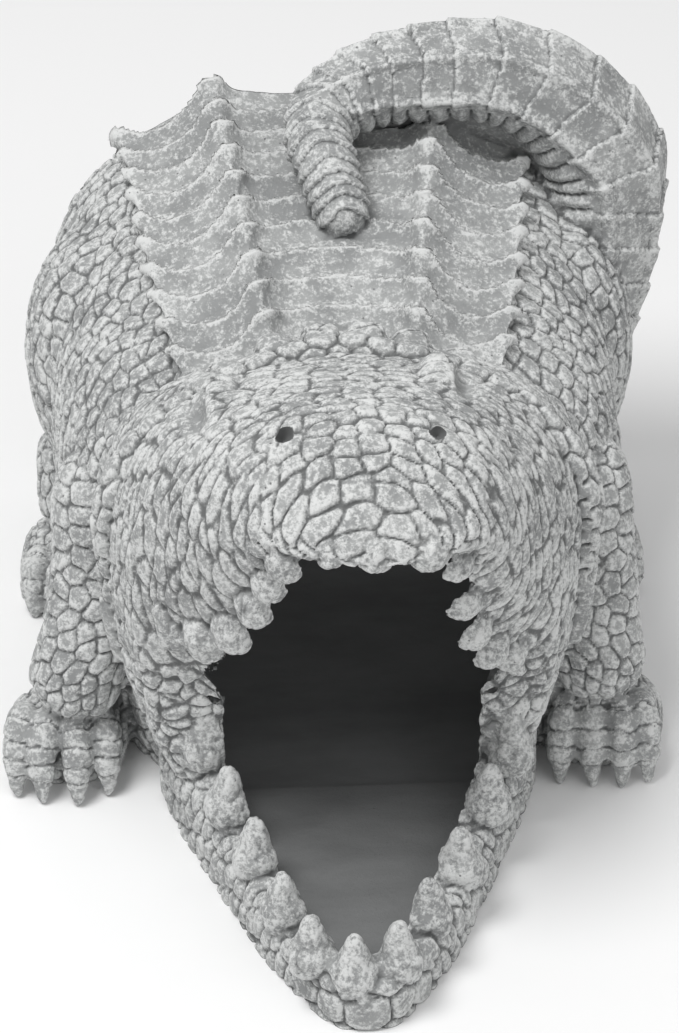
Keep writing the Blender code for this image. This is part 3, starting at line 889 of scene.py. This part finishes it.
def head_net(points):
    """Millimetres along the head from its snout and around it from its ridge, and the turn from its ridge."""
    x, y, z = points.T
    table = [at(HEAD, k, HEAD_STATIONS) for k in range(1, 6)]
    step = np.gradient(HEAD_STATIONS)
    lengths = [np.cumsum(np.hypot(step, np.gradient(table[k]))) for k in (0, 1)]
    wide, top, middle, _, lean = (np.interp(y, HEAD_STATIONS, row) for row in table)
    by_side, by_top = (np.interp(y, HEAD_STATIONS, row) for row in lengths)
    off = x - lean
    turn = np.arctan2(np.abs(off) / wide, np.maximum(z - middle, 0) / np.maximum(top - middle, 1))
    along = by_top * np.cos(turn) ** 2 + by_side * np.sin(turn) ** 2
    around = turn * (wide + top - middle) / 2
    around += np.where(z < middle, np.hypot(middle - z, np.maximum(wide - np.abs(off), 0)), 0)
    return along, around * np.sign(off), turn


def head_scales(points):
    """Fine ridges over the forehead, pebbles on the snout, strips down the cheeks, and beads on the jowls."""
    x, y, z = points.T
    a, b = warps(points, 0.7)
    along, around, turn = head_net(points)
    ridges = scales(along + 0.8 * a, around + b, 5, 9, 21, 0.7, width=0.7, dome=0.4, stagger=0.37, jitter=0.7)
    pebbles = scales(along + 1.2 * a, around + b, 6.4, 7.2, 31, 1.0, width=0.8, dome=0.9, overlap=(-0.5, 0))
    strips = scales(along + 0.5 * a, around + 1.6 * b, 4.4, 12.5, 41, 0.8, width=0.7, dome=0.35, jitter=0.8)
    beads = beaded(points + np.stack([a, b, 0.5 * (a - b)], axis=1))
    wander = 4 * noise(points, 9, 8)
    on_snout = ramp(27 - np.abs(x - 4) + 0.35 * (-58 - y) + wander, -1.5, 1.5) * ramp(-y + wander, 44, 48)
    on_top = ramp(0.75 - turn + 0.02 * wander, -0.05, 0.05) * (1 - on_snout)
    low = ramp(-z + wander, -70, -66) * ramp(y + wander, -52, -48) * (1 - on_snout) * (1 - on_top)
    shares = [on_top, on_snout, np.clip(1 - on_top - on_snout - low, 0, 1), low]
    kinds = (ridges, pebbles, strips, beads)
    height, groove = (sum(s * kind[i] for s, kind in zip(shares, kinds)) for i in (0, 1))
    for eye_x, eye_y, eye_z, slant in EYES:
        across = (x - eye_x) + slant * (y - eye_y)
        pit = np.exp(-((across / 3.0) ** 2) - ((y - eye_y) / 7.5) ** 4 - ((z - eye_z) / 9) ** 4)
        height = height * (1 - pit) - 2.8 * pit
        groove = groove * (1 - pit) + 3 * pit
    return height, groove


def jaw_reach(y):
    """Distance along the jaw's outline from its tip to y."""
    ys = np.linspace(JAW[0][0], JAW[-1][0], 200)
    half = at(JAW, 1, ys)
    reach = np.concatenate([[0], np.cumsum(np.hypot(np.diff(ys), np.diff(half)))])
    return np.interp(y, ys, reach)


def jaw_lumps(points):
    """Tall lumps down the outer side of the jaw, wider at its tip."""
    x, y, z = points.T
    a, b = warps(points)
    reach = jaw_reach(y) * np.sign(x)
    rise = z + 0.35 * np.abs(reach)
    sides = scales(reach + a, rise + b, 5.6, 10, 61, 1.1, width=0.9, dome=0.6)
    tip = scales(reach + 0.5 * a + 4, z + 0.5 * b, 9.5, 10.5, 63, 1.3, width=1.0, dome=0.8)
    near = ramp(-np.abs(reach), -27, -22)
    return [near * tip[i] + (1 - near) * sides[i] for i in (0, 1)]


def foreleg_scales(points):
    """Squarish scales in columns down the foreleg."""
    x, y, z = points.T
    a, b = warps(points)
    side = np.sign(x)
    heights = [20, 44, 67, 92]
    out = np.where(side < 0, FOOT_OUT[-1], FOOT_OUT[1]) * np.clip((ELBOW - z) / 45, 0, 1)
    axis_x = side * (np.interp(z, heights, [80.5, 77.5, 72.5, 64]) + out)
    axis_y = np.interp(z, heights, [-6, -4, 6, 25])
    around = np.arctan2((x - axis_x) * side, -(y - axis_y)) * 17
    drop = z * 0.95 + 0.25 * y
    drop, around = drop + 0.5 * b, around + 0.5 * a
    return scales(drop, around, 6.8, 6.6, 71, 1.0, width=0.8, dome=0.5, jitter=0.5, overlap=(-0.4, 0))


def foot_scales(points):
    x, y, z = points.T
    a, b = warps(points)
    return scales(x + 0.6 * a, y * 0.8 - z * 0.6 + 0.6 * b, 5.4, 4.4, 81, 0.9, width=0.7, dome=0.7)


def toe_wrinkles(points):
    """Deep cross wrinkles down each toe, and a smooth claw."""
    height, groove = np.zeros(len(points)), np.full(len(points), 3.0)
    nearest = np.full(len(points), 1e9)
    jitter = 1.1 * noise(points, 4, 12)
    for path in toe_paths():
        along, _, out = tube_places(points, path)
        knots = tube_frames(path, (0, 0, 1), 5)[0]
        to_tip = knots[-1] - along + jitter
        ring = np.abs((to_tip - CLAW) / 5.2 - np.round((to_tip - CLAW) / 5.2)) * 5.2
        on_claw = ramp(-to_tip, -CLAW + 0.3, -CLAW + 1.2)
        line = ring * (1 - on_claw) + on_claw * 3
        rise = -0.8 * (1 - ramp(line, 0.0, 0.9)) - 0.5 * on_claw
        closer = out < nearest
        nearest = np.where(closer, out, nearest)
        height = np.where(closer, rise, height)
        groove = np.where(closer, line * 1.4, groove)
    return height + 0.35 * noise(points, 2.2, 13), groove


def collar_bumps(points):
    """A string of bumps round the top of the collar, and a smooth fold down its sides."""
    along, turn, _ = tube_places(points, collar_path(), (0, 1, 0))
    a, b = warps(points, 0.6)
    bumps = scales(along + 0.5 * a, turn * 5 + 0.3 * b, 9.0, 11, 95, 1.2, width=1.1, dome=1.5, jitter=0.35)
    fold = ramp(-points[:, 2] + 3 * a, -84, -70)
    return bumps[0] * (1 - fold), bumps[1] * (1 - fold) + 3 * fold


def nape_scutes(points):
    x, y, z = points.T
    a, b = warps(points, 0.2)
    return scales(x + a, y + b, SCUTE_PITCH, 12, 97, 0.5, width=0.7, dome=0.3)


def plate_rows_relief(points):
    """Cross rows that each rise to a free lip behind, highest on the keels, with fine lines along them."""
    x, y, z = points.T
    wave = 1.1 * noise(points * (1, 0.5, 0.3), 11, 14) + 0.4 * noise(points, 4, 15)
    rows, off = plate_rows(x, y, wave)
    part = rows % 1.0
    keel = np.exp(-((off / KEEL_WIDTH) ** 2))
    lines = noise(points * (0.16, 1, 1), 2.0, 16) * (1 - keel)
    second = np.abs(part - 0.42 - 0.12 * noise(points * (0.5, 0.2, 0.2), 14, 19)) * 12
    faint = ramp(noise(points * (0.5, 0.3, 0.3), 17, 20), -0.1, 0.3) * (1 - keel)
    height = PLATE_STEP * (part**3 - 0.3) + KEEL_SPIKE * keel * (part**2.4 - 0.1) + 0.3 * lines
    height -= 0.4 * faint * np.exp(-(second**2))
    return height, np.minimum(part * 5, 3)


TAIL_BANDS = [(0, 11.5), (120, 12.2), (165, 12.5), (195, 9.5), (210, 6), (224, 4.7), (262, 4.2)]
TAIL_RIB = 7.4


def tail_bands(points):
    """Bands that overlap towards the tip on the outer side, round ribs below, tight rings near the end."""
    along, turn, _ = tube_places(points, TAIL_MIDDLE, TAIL_FACING)
    degrees = np.degrees(turn)
    wave = 0.8 * noise(points, 12, 17) + 0.4 * noise(points, 4.5, 18)
    steps = np.linspace(-10, 290, 601)
    count = np.cumsum(0.5 / np.interp(steps, *zip(*TAIL_BANDS)))
    away = turn_between(degrees, 0)
    place = along + wave + 0.9 * np.cos(3 * turn)
    phase = np.interp(place, steps, count)
    pitch = np.interp(along, *zip(*TAIL_BANDS))
    part = phase % 1.0
    outer = ramp(-away, -72, -64)
    tip = ramp(along, TAIL_TIP_START - 8, TAIL_TIP_START + 8)
    keel = sum(np.exp(-((turn_between(degrees, k) / 4.2) ** 2)) for k in TAIL_KEELS)
    band_step = 1.25 * (1 - tip) + 1.3 * tip
    band = band_step * (part**1.8 - 0.4) + 0.9 * keel * (1 - tip)
    band_line = np.minimum(part * pitch * 0.55 + 0.05, 3)
    keel_line = np.abs(np.min([turn_between(degrees, k) for k in TAIL_KEELS], axis=0) - 8) * 0.28
    keel_line = np.where(tip > 0.4, 3, keel_line + 0.25)
    ribs = np.abs((place / TAIL_RIB) - np.round(place / TAIL_RIB)) * 2
    rib = 2.4 * (ribs**0.5 - 0.75)
    below = (1 - outer) * (1 - tip)
    height = band * (1 - below) + rib * below
    groove = np.minimum(band_line, keel_line) * (1 - below) + ribs * TAIL_RIB / 2 * 0.8 * below
    return height, groove


def worn_tooth(points):
    groove, out = lumps(points * (1, 1, 0.45), 4.2, 91)
    return 0.35 * (ramp(groove, 0.0, 0.6) - 1) + 0.3 * noise(points, 3.5, 21), groove + 0.35


CARVING = {
    "torso": flank_scales,
    "head": head_scales,
    "jaw": jaw_lumps,
    "collar": collar_bumps,
    "nape": nape_scutes,
    "plate": plate_rows_relief,
    "foreleg": foreleg_scales,
    "foot": foot_scales,
    "toe": toe_wrinkles,
    "tail": tail_bands,
    "web": plain_skin,
    "low_tooth": worn_tooth,
    "high_tooth": worn_tooth,
}
# Each form, and the forms that a crease parts it from
SEAMS = [
    ("foreleg", "foot torso collar"),
    ("head", "collar high_tooth jaw"),
    ("torso", "collar tail"),
    ("jaw", "low_tooth"),
    ("foot", "toe"),
    ("plate", "tail torso"),
]


def relief(points, weight):
    """Height of the carving over the plain forms, and distance to the nearest groove, both in millimetres."""
    height, groove = np.zeros(len(points)), np.zeros(len(points))
    for name, carve in CARVING.items():
        near = weight[name] > 0.01
        rise, line = carve(points[near])
        height[near] += weight[name][near] * rise
        groove[near] += weight[name][near] * line
    for first, others in SEAMS:
        for second in others.split():
            seam = np.clip(4 * weight[first] * weight[second], 0, 1)
            height -= 0.7 * seam
            groove = np.minimum(groove, 3 - 2.6 * seam)
    rough = 0.13 * noise(points, 2.4, 5) + 0.08 * noise(points, 1.3, 6) + 0.3 * noise(points, 9, 7)
    return height + rough, groove


def store(mesh, name, values, kind="FLOAT"):
    attribute = mesh.attributes.new(name, kind, "POINT")
    attribute.data.foreach_set("value", values.astype(np.float32 if kind == "FLOAT" else np.int32))


def hollowness(mesh, edges):
    """How far each point lies below its surroundings, in millimetres: below 0 on edges and ridges."""
    points, normals = points_of(mesh), normals_of(mesh)
    total = np.zeros(len(points))
    for times, share in ((4, 1.0), (22, 0.45)):
        around = np.stack([spread(points[:, k], edges, times) for k in range(3)], axis=1)
        total += share * ((around - points) * normals).sum(1)
    return total


def casting():
    """The whole casting as one mesh in millimetres. Its points hold the number of their form, their distance
    to the nearest groove, how hollow the surface is there, and how far they lie on the brushed outside."""
    builds = [build for name in LABELS for build in FORMS[name]]
    skin = remeshed(solid("casting", *builds), 1.0, 1)
    carved(skin, "DIFFERENCE", trough, hood_front, hood_back)
    remeshed(skin, VOXEL, 2)
    mesh = skin.data
    points, normals, edges = points_of(mesh), normals_of(mesh), array_of(mesh.edges, "vertices", 2, np.int32)
    nearest, away = nearest_forms(points)
    weight = {name: spread((nearest == k).astype(float), edges, 3) for k, name in enumerate(LABELS)}
    # Walls that were cut in the mouth lie away from every form, and stay smooth, as its floor does
    x, _, z = points.T
    on_floor = (z < FLOOR + 4) & (normals[:, 2] > 0.7) & (np.abs(x) < MOUTH_TUNNEL_WIDTH / 2)
    outside = spread(np.where(on_floor, 0, 1 - ramp(away, 2.2, 4.0)), edges, 2)
    height, groove = relief(points, weight)
    points += normals * (height * outside)[:, None]
    mesh.vertices.foreach_set("co", points.astype(np.float32).ravel())
    mesh.update()
    store(mesh, "form", nearest, "INT")
    store(mesh, "groove", groove)
    store(mesh, "hollow", hollowness(mesh, edges))
    store(mesh, "brushed", outside)
    mesh.materials.clear()
    mesh.materials.append(brushed_stone())
    mesh.polygons.foreach_set("material_index", np.zeros(len(mesh.polygons), np.int32))
    carved(skin, "INTERSECT", kept_block)
    carved(skin, "DIFFERENCE", tunnel, nostrils)
    return skin


# Materials

def shader_of(name):
    material = bpy.data.materials.new(name)
    material.use_nodes = True
    shader = material.node_tree.nodes["Principled BSDF"]
    shader.inputs["Roughness"].default_value = 0.88
    shader.inputs["Specular IOR Level"].default_value = 0.25
    return material, material.node_tree, shader


def fed(tree, kind, **values):
    """A new node, with each named input set to a value or linked to a socket."""
    node = tree.nodes.new("ShaderNode" + kind)
    for name, value in values.items():
        put(tree, node.inputs[name.replace("_", " ")], value)
    return node


def put(tree, socket, value):
    if isinstance(value, bpy.types.NodeSocket):
        tree.links.new(value, socket)
    else:
        socket.default_value = value


def mapped(tree, value, low, high, to_low=0.0, to_high=1.0):
    """A smooth step of a value, from to_low at low to to_high at high."""
    step = fed(tree, "MapRange", Value=value, From_Min=low, From_Max=high, To_Min=to_low, To_Max=to_high)
    step.interpolation_type = "SMOOTHSTEP"
    return step.outputs["Result"]


def calculated(tree, operation, a, b):
    """A sum or product of two values, each a socket or a number."""
    node = fed(tree, "Math")
    node.operation = operation
    put(tree, node.inputs[0], a)
    put(tree, node.inputs[1], b)
    return node.outputs[0]


def speckle(tree, place, size, detail=3.0, rough=0.6):
    """Noise whose lumps are about size metres."""
    return fed(tree, "TexNoise", Vector=place, Scale=1 / size, Detail=detail, Roughness=rough).outputs["Fac"]


def mixed(tree, share, first, second):
    """A colour between two, each a socket or a grey."""
    mix = fed(tree, "Mix", Factor=share)
    mix.data_type = "RGBA"
    for name, value in (("A", first), ("B", second)):
        socket = next(s for s in mix.inputs if s.name == name and s.type == "RGBA")
        put(tree, socket, (*value, 1) if isinstance(value, tuple) else value)
    return next(s for s in mix.outputs if s.type == "RGBA")


def attribute(tree, name):
    node = fed(tree, "Attribute")
    node.attribute_name = name
    return node.outputs["Fac"]


DARK_GREY = (0.095, 0.098, 0.098)
MID_GREY = (0.27, 0.276, 0.276)
PALE_GREY = (0.36, 0.367, 0.365)
BRUSHED_WHITE = (0.64, 0.648, 0.642)
# The two inner greys are unbrushed stone darkened with painted shade of the deep tunnel and mouth
INNER_SHADE_DARK = (0.13, 0.133, 0.133)
INNER_SHADE_PALE = (0.19, 0.194, 0.194)


def weighed(tree, terms, offset=0.0):
    """The sum of an offset and of values, each times its own weight."""
    total = offset
    for value, weight in terms:
        total = calculated(tree, "ADD", calculated(tree, "MULTIPLY", value, weight), total)
    return total


def brushed_stone():
    """Grey stone with dark recesses, partly a dark coat and partly painted shade, and pores, brushed over
    with pale grey that stays on what stands out.
    """
    material, tree, shader = shader_of("brushed_stone")
    place = fed(tree, "TexCoord").outputs["Object"]
    fine = speckle(tree, place, 0.0012, 3.0, 0.75)
    grain = speckle(tree, place, 0.0035, 4.0, 0.7)
    patches = speckle(tree, place, 0.016, 3.0, 0.6)
    hollow = attribute(tree, "hollow")
    groove = attribute(tree, "groove")

    base = mixed(tree, mapped(tree, patches, 0.35, 0.65), MID_GREY, PALE_GREY)
    # Brush marks: on ridges and on the rims of scales first, broken up by the grain
    rim = mapped(tree, groove, 0.9, 2.2, 1.0, 0.0)
    shares = [(hollow, -0.7), (fine, 3.2), (grain, 2.4), (patches, 1.0), (rim, 0.2)]
    marks = mapped(tree, weighed(tree, shares, -3.12), 0.0, 0.95)
    worn = mixed(tree, marks, base, BRUSHED_WHITE)
    # Recesses: dark where the surface is hollow, partly the dark coat and partly painted shade
    # Painted shade: the hollow measure darkens the colour in recesses
    recess_coat_and_shade = mapped(tree, weighed(tree, [(hollow, 1.0), (grain, 0.5)], -0.25), 0.14, 0.85, 0.0, 0.9)
    line = mapped(tree, weighed(tree, [(groove, 1.0), (grain, 1.6)], -0.8), 0.0, 0.5, 0.78, 0.0)
    dark = calculated(tree, "MAXIMUM", recess_coat_and_shade, line)
    # Pores
    pits = fed(tree, "TexVoronoi", Vector=place, Scale=300).outputs["Distance"]
    pore = mapped(tree, pits, 0.06, 0.13, 0.7, 0.0)
    pore = calculated(tree, "MULTIPLY", pore, mapped(tree, patches, 0.48, 0.6))
    dark = calculated(tree, "MAXIMUM", dark, pore)
    colour = mixed(tree, dark, worn, DARK_GREY)
    # Where the brush did not reach, the mouth takes the inner grey, which holds painted shade
    inside = mapped(tree, attribute(tree, "brushed"), 0.2, 0.8)
    colour = mixed(tree, inside, inner_grey_and_shade(tree, place), colour)
    tree.links.new(colour, shader.inputs["Base Color"])
    grained(tree, shader, weighed(tree, [(fine, 1.0), (grain, 1.0), (pore, -1.0)]), 0.6, 0.0005)
    return material


def grained(tree, shader, height, strength, depth):
    """Fine unevenness of the surface."""
    bump = fed(tree, "Bump", Height=height, Strength=strength, Distance=depth)
    tree.links.new(bump.outputs["Normal"], shader.inputs["Normal"])


def inner_grey_and_shade(tree, place):
    """The dark grey of the mouth and the tunnel, with faint streaks: unbrushed stone darkened with painted
    shade of the deep tunnel.
    """
    stretched = fed(tree, "Mapping", Vector=place, Scale=(0.4, 1.0, 1.0)).outputs["Vector"]
    streaks = speckle(tree, stretched, 0.03, 5.0, 0.6)
    return mixed(tree, mapped(tree, streaks, 0.3, 0.75), INNER_SHADE_DARK, INNER_SHADE_PALE)


# Tunnel, nostrils, base and rear: the inner grey, darkened with painted shade of the tunnel
def bare_stone_and_shade():
    material, tree, shader = shader_of("bare_stone_and_shade")
    place = fed(tree, "TexCoord").outputs["Object"]
    tree.links.new(inner_grey_and_shade(tree, place), shader.inputs["Base Color"])
    grained(tree, shader, speckle(tree, place, 0.002, 4.0, 0.7), 0.4, 0.0006)
    return material


# Pieces

PIECES = {
    "crocodile_body": ("torso", "web"),
    "crocodile_back": ("plate", "nape", "collar"),
    "crocodile_head": ("head", "high_tooth"),
    "crocodile_jaw": ("jaw", "low_tooth"),
    "crocodile_legs": ("foreleg", "foot", "toe"),
    "crocodile_tail": ("tail",),
}


def hand_over(skin):
    """Cut the carved skin up into the pieces that stand in for the CAD node."""
    mesh = skin.data
    mesh.calc_loop_triangles()
    faces = array_of(mesh.loop_triangles, "vertices", 3, np.int32)
    polygon = array_of(mesh.loop_triangles, "polygon_index", kind=np.int32)
    slots = array_of(mesh.polygons, "material_index", kind=np.int32)[polygon]
    points = points_of(mesh)
    form = array_of(mesh.attributes["form"].data, "value", kind=np.int32)
    layers = {name: array_of(mesh.attributes[name].data, "value") for name in ("groove", "hollow", "brushed")}
    outer = slots == 0
    a, b, c = (points[faces[outer][:, k]] for k in range(3))
    flat = np.cross(b - a, c - a)
    normals = np.zeros_like(points)
    for k, axis in product(range(3), repeat=2):
        normals[:, axis] += np.bincount(faces[outer][:, k], weights=flat[:, axis], minlength=len(points))
    normals /= np.maximum(np.linalg.norm(normals, axis=1), 1e-9)[:, None]
    face_form = np.median(form[faces], axis=1).astype(int)
    for name, forms in PIECES.items():
        chosen = outer & np.isin(face_form, [LABELS.index(f) for f in forms])
        piece_of(name, points, faces[chosen], layers, normals, mesh.materials[0])
    piece_of("crocodile_hollow", points, faces[~outer], {}, None, mesh.materials[1])
    bpy.data.objects.remove(skin)


def piece_of(name, points, faces, layers, normals, material):
    used, index = np.unique(faces, return_inverse=True)
    faces = index.reshape(-1, 3)
    mesh = bpy.data.meshes.new(name)
    mesh.vertices.add(len(used))
    mesh.vertices.foreach_set("co", (points[used] * MM).astype(np.float32).ravel())
    mesh.loops.add(len(faces) * 3)
    mesh.loops.foreach_set("vertex_index", faces.astype(np.int32).ravel())
    mesh.polygons.add(len(faces))
    mesh.polygons.foreach_set("loop_start", np.arange(0, len(faces) * 3, 3, dtype=np.int32))
    mesh.update(calc_edges=True)
    for layer, values in layers.items():
        store(mesh, layer, values[used])
    mesh.materials.append(material)
    mesh.shade_smooth()
    if normals is not None:
        mesh.normals_split_custom_set_from_vertices(normals[used])
    else:
        mesh.set_sharp_from_angle(angle=math.radians(30))
    mesh.validate()
    obj = placed(name, mesh)
    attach(obj, "root")
    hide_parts("crocodile")


# Set

AIM = Vector((0, 0, 0.075))
AZIMUTH, ELEVATION, DISTANCE = math.radians(-3), math.radians(38), 1.05
PIXELS_HIGH, FOCAL_PIXELS = 1033, 3433.5


def camera():
    level = math.cos(ELEVATION)
    back = Vector((math.sin(AZIMUTH) * level, -math.cos(AZIMUTH) * level, math.sin(ELEVATION)))
    place = AIM + back * DISTANCE
    turn = back.to_track_quat("Z", "Y")
    # The object's middle stands a little below and right of the picture's middle
    aim = AIM + turn @ Vector((-5.5, 38.5, 0)) * (DISTANCE / FOCAL_PIXELS)
    data = bpy.data.cameras.new("camera")
    data.sensor_fit = "VERTICAL"
    data.sensor_height = 36
    data.lens = FOCAL_PIXELS / PIXELS_HIGH * 36
    obj = placed("camera", data)
    obj.location = place
    obj.rotation_euler = (place - aim).to_track_quat("Z", "Y").to_euler()
    bpy.context.scene.camera = obj


def area_light(name, place, size, energy):
    data = bpy.data.lights.new(name, "AREA")
    data.shape = "DISK"
    data.size = size
    data.energy = energy
    obj = placed(name, data)
    obj.location = place
    obj.rotation_euler = (Vector(place) - Vector((0, 0, 0.08))).to_track_quat("Z", "Y").to_euler()


def ground(bm):
    bmesh.ops.create_grid(bm, x_segments=1, y_segments=1, size=6)


def surroundings():
    area_light("key", (-0.45, -0.25, 1.3), 0.6, 11.5)
    area_light("fill", (0.8, -1.0, 1.1), 1.0, 3)
    world = bpy.data.worlds.new("room")
    bpy.context.scene.world = world
    world.use_nodes = True
    sky = world.node_tree.nodes["Background"]
    sky.inputs["Color"].default_value = (1, 1, 1, 1)
    sky.inputs["Strength"].default_value = 0.55
    bpy.context.scene.view_settings.view_transform = "Standard"
    floor = solid("floor", ground)
    material, _, shader = shader_of("floor_white")
    shader.inputs["Base Color"].default_value = (0.9, 0.9, 0.9, 1)
    floor.data.materials.append(material)


camera()
surroundings()
hand_over(casting())
